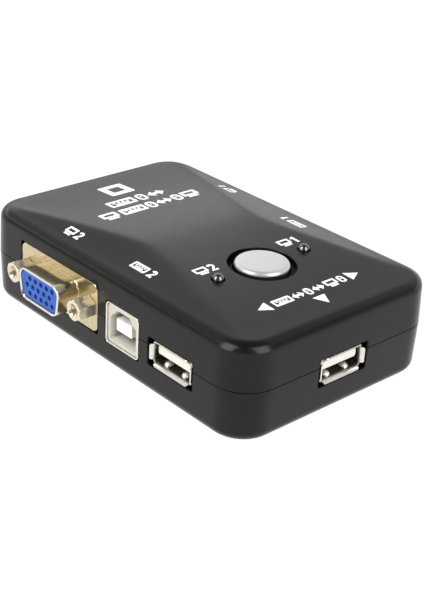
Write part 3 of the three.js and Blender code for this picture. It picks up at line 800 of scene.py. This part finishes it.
def vga_insert(where, place):
    bm = bmesh.new()
    front = -VGA_PROUD + 0.4
    block = ((0.28, front), (0.05, front + 0.22), (0.05, 2.1))
    loft(bm, [d_ring(VGA_SHEET + gap, y) for gap, y in block])
    insert = solid(bm, place)
    bm = bmesh.new()
    hole = ((0.95, front - 0.3), (0.62, front + 0.15), (0.58, front + 0.5), (0.58, front + 4))
    for x, z in pin_places():
        bored(bm, hole, x, z, 16)
    combine(insert, bm, "DIFFERENCE", place)
    dress(insert, f"vga_{where}_blue", CONNECTOR_BLUE, 34, [f"vga_{where}_insert"])
    bm = bmesh.new()
    tube = ((0.5, front + 1.8), (0.5, front + 3.8), (0.3, front + 3.8), (0.3, front + 1.8))
    for x, z in pin_places():
        bored(bm, tube, x, z, 12, closed=True)
    to_piece(f"vga_{where}_contacts", bm, CONTACT_GOLD, place, slot="gold_flash")


def vga_jackscrew(where, number, place):
    """A hexagonal jack post: chamfered nose, threaded bore."""
    x = (-1 if number == 1 else 1) * JACK_X
    bm = bmesh.new()
    nose = -JACK_PROUD
    half_flats = 2.5
    sixth = math.pi / 3
    rings = []
    for limit, y in ((2.3, nose), (2.5, nose + 0.1), (2.9, nose + 0.42), (2.9, 0.1), (1.3, 0.1), (1.3, 6.9)):
        ring = []
        for angle in whole_turn(48):
            from_flat = (angle + sixth) % sixth - sixth / 2
            radius = min(limit, half_flats / math.cos(from_flat))
            ring.append(Vector((x + radius * math.sin(angle), y, VGA_Z + radius * math.cos(angle))))
        rings.append(ring)
    loft(bm, rings)
    post = solid(bm, place)
    bm = bmesh.new()
    profile = [(1.9, nose - 0.1), (1.62, nose + 0.2)]
    depth = nose + 0.2
    for _ in range(7):
        profile += [(1.4, depth + 0.32), (1.6, depth + 0.64)]
        depth += 0.64
    bored(bm, profile + [(1.4, depth + 0.3)], x, VGA_Z, 32)
    combine(post, bm, "DIFFERENCE", place)
    dress(post, f"vga_{where}_jack_{number}", JACK_GOLD, 30, [f"vga_{where}_jackscrew_{number}"])


# ---------------------------------------------------------------- USB type A socket
def usb_a_lip(bm, turn):
    """One flared lip of the mouth, its free corners rounded, bending out from the tube."""
    level = turn % 2 == 0
    reach = USB_A_HALF_Z if level else USB_A_HALF_X
    root, tip = (6.0, 5.5) if level else (2.0, 1.9)
    rows = 8
    spin = Matrix.Rotation(turn * QUARTER, 4, "Y")
    rings = []
    for i in range(rows + 1):
        share = i / rows
        bend = 0.55 * min(share * 2, 1)
        y = 1.12 - 0.94 * share
        out = (0.5 if level else 0.62) * share ** 1.2
        tuck = max(share - 0.68, 0) / 0.32
        width = root + (tip - root) * share - 0.35 * (1 - math.sqrt(1 - tuck ** 2))
        normal = Vector((0, -math.sin(bend), -math.cos(bend)))
        outer = Vector((0, y, reach + out))
        inner = outer + normal * SHEET
        corners = ((-width, outer), (width, outer), (width, inner), (-width, inner))
        rings.append([spin @ Vector((x, p.y, p.z)) + Vector((0, 0, USB_A_Z)) for x, p in corners])
    loft(bm, rings)


def usb_a_spring(bm, x, side):
    """A leaf spring pressed out of the tube's upper or lower wall."""
    base = side * (USB_A_HALF_Z - SHEET)
    path = ((9.0, 0.05), (6.5, 0.0), (4.6, -0.08), (3.6, -0.14), (2.2, -0.14), (1.8, -0.05))
    section = [(dx, dz * side) for dx, dz in ((-1.15, 0.1), (1.15, 0.1), (1.15, -0.1), (-1.15, -0.1))]
    strip(bm, x, [(y, USB_A_Z + (base + side * dip)) for y, dip in path], section)


def usb_a_domes(where, place):
    """The polished round dimples on the springs, which grip the plug."""
    bm = bmesh.new()
    for x in (-SPRING_X, SPRING_X):
        for side in (-1, 1):
            base = USB_A_Z + side * (USB_A_HALF_Z - SHEET + 0.05)
            bend = steps_between(-0.2, QUARTER * 0.95, 9)
            dome = [(1.12 * math.cos(a), base - side * 0.98 * math.sin(a)) for a in bend]
            turned(bm, dome, x, 2.7, 24)
    to_piece(f"usb_a_{where}_domes", bm, BRIGHT_NICKEL, place, 34, slot="nickel")


def usb_a_metal(where, place):
    bm = bmesh.new()

    def ring(inset, y):
        outline = rounded_outline(USB_A_HALF_X - inset, USB_A_HALF_Z - inset, 0.7 - inset, 5)
        return standing(outline, y, USB_A_Z)

    loft(bm, [ring(0, 1.0), ring(0, 13.9), ring(SHEET, 13.9), ring(SHEET, 1.0)], closed=True)
    for turn in range(4):
        usb_a_lip(bm, turn)
    for x in (-SPRING_X, SPRING_X):
        for side in (-1, 1):
            usb_a_spring(bm, x, side)
    foot = [Vector(p) for p in ((-0.15, 0), (0.15, 0), (0.15, 2.4), (-0.15, 2.4))]
    for side in (-1, 1):
        for y in (3.5, 10):
            loft(bm, [lying(foot, z, side * (USB_A_HALF_X - 0.15), y) for z in (6.5, USB_A_Z - 1)])
    cad = [f"usb_a_{where}_shell"]
    to_piece(f"usb_a_{where}_metal", bm, SLEEVE_NICKEL, place, 34, replaces=cad, slot="nickel")


def usb_a_insert(where, place):
    bm = bmesh.new()
    middle = USB_A_Z + USB_A_HALF_Z - SHEET - 0.75 - 1.05

    def slab(half_x, half_z, y, z):
        return standing(rounded_outline(half_x, half_z, 0.45, 5), y, z)

    tongue = ((5.3, 0.8, 1.5), (5.48, 0.98, 1.58), (5.55, 1.05, 1.8), (5.55, 1.05, 9.7))
    root = ((6.15, 2.46, 9.75), (6.15, 2.46, 13.8))
    loft(bm, [slab(*size, middle) for size in tongue] + [slab(*size, USB_A_Z) for size in root])
    cad = [f"usb_a_{where}_insulator"]
    to_piece(f"usb_a_{where}_tongue", bm, CONNECTOR_CREAM, place, 34, replaces=cad, slot="cream_insert")
    bm = bmesh.new()
    bow = ((2.0, 0.0), (2.6, 0.32), (3.6, 0.34), (6, 0.1), (9.6, 0.02))
    path = [(y, middle - 1.06 - hang) for y, hang in bow]
    for x in (-3.5, -1, 1, 3.5):
        strip(bm, x, path, ((-0.5, 0), (0.5, 0), (0.5, 0.14), (-0.5, 0.14)))
    to_piece(f"usb_a_{where}_contacts", bm, CONTACT_GOLD, place, 30, slot="gold_flash")


# ---------------------------------------------------------------- USB type B socket
def usb_b_metal(where, place):
    bm = bmesh.new()

    def ring(inset, y):
        outline = rounded_outline(6.0 - inset, 5.35 - inset, 1.05 - inset, 7)
        return standing(outline, y, USB_B_Z)

    walls = ((0, 0.12), (0, 16.1), (SHEET, 16.1), (SHEET, 0.12), (0.22, 0.04), (0.08, 0.04))
    loft(bm, [ring(inset, y) for inset, y in walls], closed=True)
    cad = [f"usb_b_{where}_shell"]
    to_piece(f"usb_b_{where}_metal", bm, BRIGHT_NICKEL, place, 34, replaces=cad, slot="nickel")


def type_b_outline(grow):
    """The near-square mouth with its two upper corners cut off."""
    half_x, low, high = 4.65 + grow, -3.95 - grow, 3.98 + grow
    cut = 2.45
    return [Vector(p) for p in (
        (-half_x, low), (half_x, low), (half_x, high - cut), (half_x - cut, high),
        (-half_x + cut, high), (-half_x, high - cut),
    )]


def usb_b_insert(where, place):
    bm = bmesh.new()

    def ring(inset, y):
        return standing(rounded_outline(5.52 - inset, 4.87 - inset, 0.9 - inset, 6), y, USB_B_Z)

    block = ((0.14, USB_B_FACE), (0.04, USB_B_FACE + 0.04), (0, USB_B_FACE + 0.14), (0, 15.4))
    loft(bm, [ring(inset, y) for inset, y in block])
    body = solid(bm, place)
    cut = bmesh.new()
    mouth = ((0.62, USB_B_FACE - 0.4), (0.22, USB_B_FACE), (0.06, USB_B_FACE + 0.08))
    cavity = ((0.0, USB_B_FACE + 0.24), (0.0, 9.4))
    loft(cut, [standing(type_b_outline(grow), y, USB_B_Z) for grow, y in mouth + cavity])
    combine(body, cut, "DIFFERENCE", place)
    grooves = bmesh.new()
    for side in (-1, 1):
        bored(grooves, ((0.14, USB_B_FACE + 0.3), (0.14, 9.2)), side * 4.66, USB_B_Z + 1.56, 8)
    combine(body, grooves, "DIFFERENCE", place)
    tongue = bmesh.new()
    rings = []
    for inset, y in ((0.23, 0.75), (0.07, 0.82), (0, 1.0), (0, 9.6)):
        outline = rounded_outline(TONGUE_HALF_X - inset, TONGUE_HALF_Z - inset, 0.25, 4)
        rings.append(standing(outline, y, USB_B_TONGUE_Z))
    loft(tongue, rings)
    combine(body, tongue, "UNION", place)
    dress(body, f"usb_b_{where}_body", FRAME_CREAM, 34, [f"usb_b_{where}_insulator"])
    bm = bmesh.new()
    bow = ((3.4, 0.02), (4.0, 0.25), (6.5, 0.25), (9.3, 0.05))
    for x in (-1.25, 1.25):
        for side in (-1, 1):
            path = [(y, USB_B_TONGUE_Z + side * (TONGUE_HALF_Z + rise)) for y, rise in bow]
            strip(bm, x, path, ((-0.45, -0.05), (0.45, -0.05), (0.45, 0.09), (-0.45, 0.09)))
    to_piece(f"usb_b_{where}_contacts", bm, CONTACT_GOLD, place, 30, slot="gold_flash")


# ---------------------------------------------------------------- pieces that keep their CAD shape
def dress_cad_nodes():
    looks = {
        BOARD_GREEN: ["circuit_board"],
        BRIGHT_NICKEL: ["switch_cover", "crystal"],
        CONNECTOR_CREAM: ["switch_plunger"],
        SPRING_STEEL: ["switch_spring", "capacitor_left", "capacitor_right"],
        HOUSING_BLACK: ["switch_housing", "control_chip", "video_chip_left", "video_chip_right"]
        + [f"vga_{where}_housing" for where in VGA_PLACES],
    }
    for node, look in [(node, look) for look, nodes in looks.items() for node in nodes]:
        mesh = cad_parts[node].data
        mesh.materials.clear()
        mesh.materials.append(look)


# ---------------------------------------------------------------- white marks printed on the lid
class Marks:
    """Flat marks gathered as tall prisms, each drawn about (0, 0), then placed and turned on the lid.

    A pictogram or numeral stands at u along its line and is h high.
    """

    def __init__(self):
        self.bm = bmesh.new()
        self.place_at(0, 0)

    def place_at(self, x, y, turns=0):
        self.middle = Vector((x, y))
        self.turn = Matrix.Rotation(turns * QUARTER, 2)

    def spot(self, points):
        return [self.middle + self.turn @ p for p in points]

    def solid(self, points):
        loft(self.bm, [lying(self.spot(points), z) for z in (RIM - 1.5, PEAK + 1)])

    def shape(self, *points):
        self.solid([Vector(p) for p in points])

    def bar(self, u, v, half_u, half_v, radius=0.08):
        self.solid([p + Vector((u, v)) for p in rounded_outline(half_u, half_v, radius, 3)])

    def frame(self, u, v, half_u, half_v, radius, stroke):
        outer = rounded_outline(half_u, half_v, radius, 5)
        inner = rounded_outline(half_u - stroke, half_v - stroke, max(radius - stroke, 0.12), 5)
        rings = []
        for outline, z in ((outer, RIM - 1.5), (outer, PEAK + 1), (inner, PEAK + 1), (inner, RIM - 1.5)):
            rings.append(lying(self.spot([p + Vector((u, v)) for p in outline]), z))
        loft(self.bm, rings, closed=True)

    def line(self, path, width):
        """A stroke of one width along a path, mitred where it turns."""
        points = [Vector(p) for p in path]
        left, right = [], []
        for i, p in enumerate(points):
            ahead = (points[min(i + 1, len(points) - 1)] - points[min(i, len(points) - 2)]).normalized()
            behind = (points[max(i, 1)] - points[max(i - 1, 0)]).normalized()
            middle = (ahead + behind).normalized()
            reach = width / 2 / max(middle.dot(ahead), 0.6)
            side = Vector((-middle.y, middle.x)) * reach
            left.append(p + side)
            right.append(p - side)
        self.solid(left + right[::-1])

    def screen(self, u, h, stroke):
        self.frame(u, 0.12 * h, 0.62 * h, 0.38 * h, 0.1 * h, stroke)
        self.bar(u, -0.43 * h, 0.4 * h, 0.11 * h)

    def keyboard(self, u, h, stroke):
        self.frame(u, 0, 0.98 * h, 0.46 * h, 0.12 * h, stroke)
        for step in (-1.5, -0.5, 0.5, 1.5):
            self.bar(u + step * 0.34 * h, 0.11 * h, 0.11 * h, 0.08 * h, 0.05)
        self.bar(u, -0.12 * h, 0.5 * h, 0.08 * h, 0.05)

    def mouse(self, u, h, stroke):
        self.frame(u, 0, 0.33 * h, 0.5 * h, 0.31 * h, stroke)
        self.bar(u, 0.06 * h, 0.05 * h, 0.1 * h, 0.04)

    def both_ways(self, u, h):
        """An arrow with a head at both ends."""
        half = [(0.18, 0.14), (0.18, 0.42), (0.62, 0), (0.18, -0.42), (0.18, -0.14)]
        self.shape(*[(u + side * x * h, side * y * h) for side in (1, -1) for x, y in half])

    def one(self, u, h):
        flag = ((-0.08, 0.24), (-0.24, 0.16), (-0.24, 0.34), (-0.02, 0.5))
        stem = ((0.17, 0.5), (0.17, -0.5), (-0.08, -0.5))
        self.shape(*[(u + x * h, y * h) for x, y in flag + stem])

    def two(self, u, h):
        bend = [(0.24 * math.cos(a), 0.2 + 0.22 * math.sin(a)) for a in steps_between(3.3, -0.5, 8)]
        path = bend + [(-0.2, -0.41), (0.33, -0.41)]
        self.line([(u + x * h, y * h) for x, y in path], 0.23 * h)


def ink_layer():
    """A thin solid that lies along the lid over the whole printed area."""
    bm = bmesh.new()
    columns, rows = 64, 96
    half_x, half_y = 27.6, 44
    xs = [half_x * (2 * i / columns - 1) for i in range(columns + 1)]
    ys = [half_y * (2 * j / rows - 1) for j in range(rows + 1)]
    low, high = [
        [[bm.verts.new((x, y, lid_height(x, y) + lift)) for x in xs] for y in ys] for lift in (-0.04, INK)
    ]
    for grid in (low, high):
        for j in range(rows):
            for i in range(columns):
                bm.faces.new((grid[j][i], grid[j][i + 1], grid[j + 1][i + 1], grid[j + 1][i]))
    edge = [(0, i) for i in range(columns)] + [(j, columns) for j in range(rows)]
    edge += [(rows, i) for i in range(columns, 0, -1)] + [(j, 0) for j in range(rows, 0, -1)]
    for (j, i), (l, k) in zip(edge, edge[1:] + edge[:1]):
        bm.faces.new((low[j][i], low[l][k], high[l][k], high[j][i]))
    return bm


def console_marks(marks):
    """The front socket's mark: three arrowheads round a keyboard and a mouse."""
    marks.place_at(0, -40.6)
    marks.shape((-1.9, 1.7), (0, -1.8), (1.9, 1.7))
    marks.place_at(0, -36.1)
    marks.shape((-16, 0), (-12.6, 1.85), (-12.6, -1.85))
    marks.shape((16, 0), (12.6, -1.85), (12.6, 1.85))
    marks.keyboard(-8.5, 2.8, 0.62)
    marks.both_ways(-3.6, 2.9)
    marks.mouse(-0.4, 2.9, 0.55)
    marks.both_ways(2.8, 2.9)
    marks.screen(7.0, 2.9, 0.62)
    marks.mouse(10.4, 2.9, 0.55)


def lamp_marks(marks):
    for side, numeral in ((-1, marks.two), (1, marks.one)):
        marks.place_at(side * 13.35, -15.6)
        marks.screen(-1.1, 3.0, 0.62)
        numeral(2.2, 2.9)


def facet_marks(marks):
    """A port's mark beside its socket, read from that side."""
    for side, numeral in ((-1, marks.two), (1, marks.one)):
        marks.place_at(side * 24.9, 19, side)
        marks.screen(-1.3, 2.8, 0.62)
        numeral(2.0, 2.7)
        marks.place_at(side * 23.8, -6.6, side)
        marks.keyboard(-1.6, 2.7, 0.6)
        numeral(2.8, 2.7)


def back_marks(marks):
    marks.place_at(0, 34.9)
    marks.frame(0, 0, 3.7, 3.6, 0.6, 1.9)
    marks.place_at(0, 26.3)
    marks.keyboard(-4.8, 4.2, 0.9)
    marks.mouse(1.6, 4.3, 0.8)
    marks.both_ways(6.3, 4.3)
    marks.place_at(0, 20.5)
    marks.screen(-12.9, 4.0, 0.95)
    marks.keyboard(-5.6, 3.9, 0.9)
    marks.mouse(0.2, 4.1, 0.8)
    marks.both_ways(4.4, 4.0)
    marks.mouse(8.6, 4.1, 0.8)
    marks.screen(13.0, 4.0, 0.95)


def make_printing():
    marks = Marks()
    console_marks(marks)
    lamp_marks(marks)
    facet_marks(marks)
    back_marks(marks)
    printing = combine(solid(ink_layer()), marks.bm, "INTERSECT")
    dress(printing, "printing", WHITE_INK, 40, ())


# ---------------------------------------------------------------- studio
CAMERA_AZIMUTH = -42.976
CAMERA_ELEVATION = 27.115
CAMERA_ROLL = 3.212
CAMERA_DISTANCE = 324.84
CAMERA_TARGET = Vector((11.819, 8.458, 0))
CAMERA_LENS = 74.19


def aimed(azimuth, elevation, roll=0.0):
    """The turn of a camera or lamp that stands at that azimuth from the front and looks at the object."""
    az, el = math.radians(azimuth), math.radians(elevation)
    back = Vector((math.sin(az) * math.cos(el), -math.cos(az) * math.cos(el), math.sin(el)))
    right = Vector((0, 0, 1)).cross(back).normalized()
    up = back.cross(right)
    turn = Matrix((right, up, back)).transposed().to_4x4()
    return back, turn @ Matrix.Rotation(math.radians(roll), 4, "Z")


def add_camera():
    data = bpy.data.cameras.new("camera")
    data.lens = CAMERA_LENS
    data.clip_start = 0.01
    camera = linked("camera", data)
    back, turn = aimed(CAMERA_AZIMUTH, CAMERA_ELEVATION, CAMERA_ROLL)
    place = (CAMERA_TARGET + Vector((0, CASE_Y, 0)) + back * CAMERA_DISTANCE) * MM
    camera.matrix_world = Matrix.Translation(place) @ turn
    bpy.context.scene.camera = camera


def add_softbox(name, azimuth, elevation, distance, width, height, power):
    """A rectangular lamp: degrees, metres and watts."""
    data = bpy.data.lights.new(name, "AREA")
    data.shape = "RECTANGLE"
    data.size = width
    data.size_y = height
    data.energy = power
    back, turn = aimed(azimuth, elevation)
    linked(name, data).matrix_world = Matrix.Translation(back * distance) @ turn


def add_floor():
    bm = bmesh.new()
    bmesh.ops.create_grid(bm, x_segments=24, y_segments=24, size=3.0)
    floor = linked("floor", finished_mesh(bm, "floor"))
    look = Look(
        "floor_white", Roughness=0.9, Base_Color=(0.12, 0.12, 0.12, 1), Specular_IOR_Level=0,
        Emission_Color=(1, 1, 1, 1), Emission_Strength=0.94,
    )
    floor.data.materials.append(look.material)


BACKDROP = (0.682, 0.731, 0)      # level, the way that the camera looks
ASIDE = (0.731, -0.682, 0)        # level, to the camera's right
# brightness by height, from 0 on the horizon to 1 overhead
SWEEP_GLOW = ((0.0, 0.4), (0.25, 0.75), (0.4, 2.9), (0.5, 0.5), (0.65, 1.1), (1.0, 0.15))
RIGHT_GLOW = ((0.0, 0.5), (0.2, 1.9), (0.35, 0.4), (0.6, 1.1), (1.0, 0.15))
ROOM_GLOW = ((0.0, 0.5), (0.2, 0.15), (1.0, 0.1))


def add_world():
    """A white sweep behind the object with a bright band across it, and a dim room on the camera's side."""
    world = bpy.data.worlds.new("studio")
    bpy.context.scene.world = world
    sky = Nodes(world, "Generated")
    strongest = 3

    def along(direction):
        node = sky.nodes.new("ShaderNodeVectorMath")
        node.operation = "DOT_PRODUCT"
        sky.links.new(sky.place, node.inputs[0])
        node.inputs[1].default_value = direction
        return node.outputs["Value"]

    def glow(stops):
        return sky.ramp(height, *[(level, [value / strongest] * 3) for level, value in stops])

    height = along((0, 0, 1))
    to_right = sky.spread(along(ASIDE), 0, 1, 0.0, 0.1, smooth=True)
    to_back = sky.spread(along(BACKDROP), 0, 1, -0.2, 0.35, smooth=True)
    sweep = sky.blend(to_right, glow(SWEEP_GLOW), glow(RIGHT_GLOW))
    background = sky.nodes["Background"]
    sky.links.new(sky.blend(to_back, glow(ROOM_GLOW), sweep), background.inputs["Color"])
    background.inputs["Strength"].default_value = strongest


def light_studio():
    bpy.context.scene.view_settings.view_transform = "Standard"
    add_world()
    add_softbox("lamp_left", -99, 29, 1.2, 0.75, 1.15, 14.5)
    add_softbox("lamp_right", 6, 27, 1.2, 0.8, 1.15, 13)


# ---------------------------------------------------------------- the whole picture
add_camera()
make_lid()
make_tray()
make_case_screws()
make_button()
make_lamps()
for where, place in VGA_PLACES.items():
    vga_metal(where, place)
    vga_insert(where, place)
    vga_jackscrew(where, 1, place)
    vga_jackscrew(where, 2, place)
for where, place in USB_A_PLACES.items():
    usb_a_metal(where, place)
    usb_a_domes(where, place)
    usb_a_insert(where, place)
for where, place in USB_B_PLACES.items():
    usb_b_metal(where, place)
    usb_b_insert(where, place)
dress_cad_nodes()
make_printing()
add_floor()
light_studio()
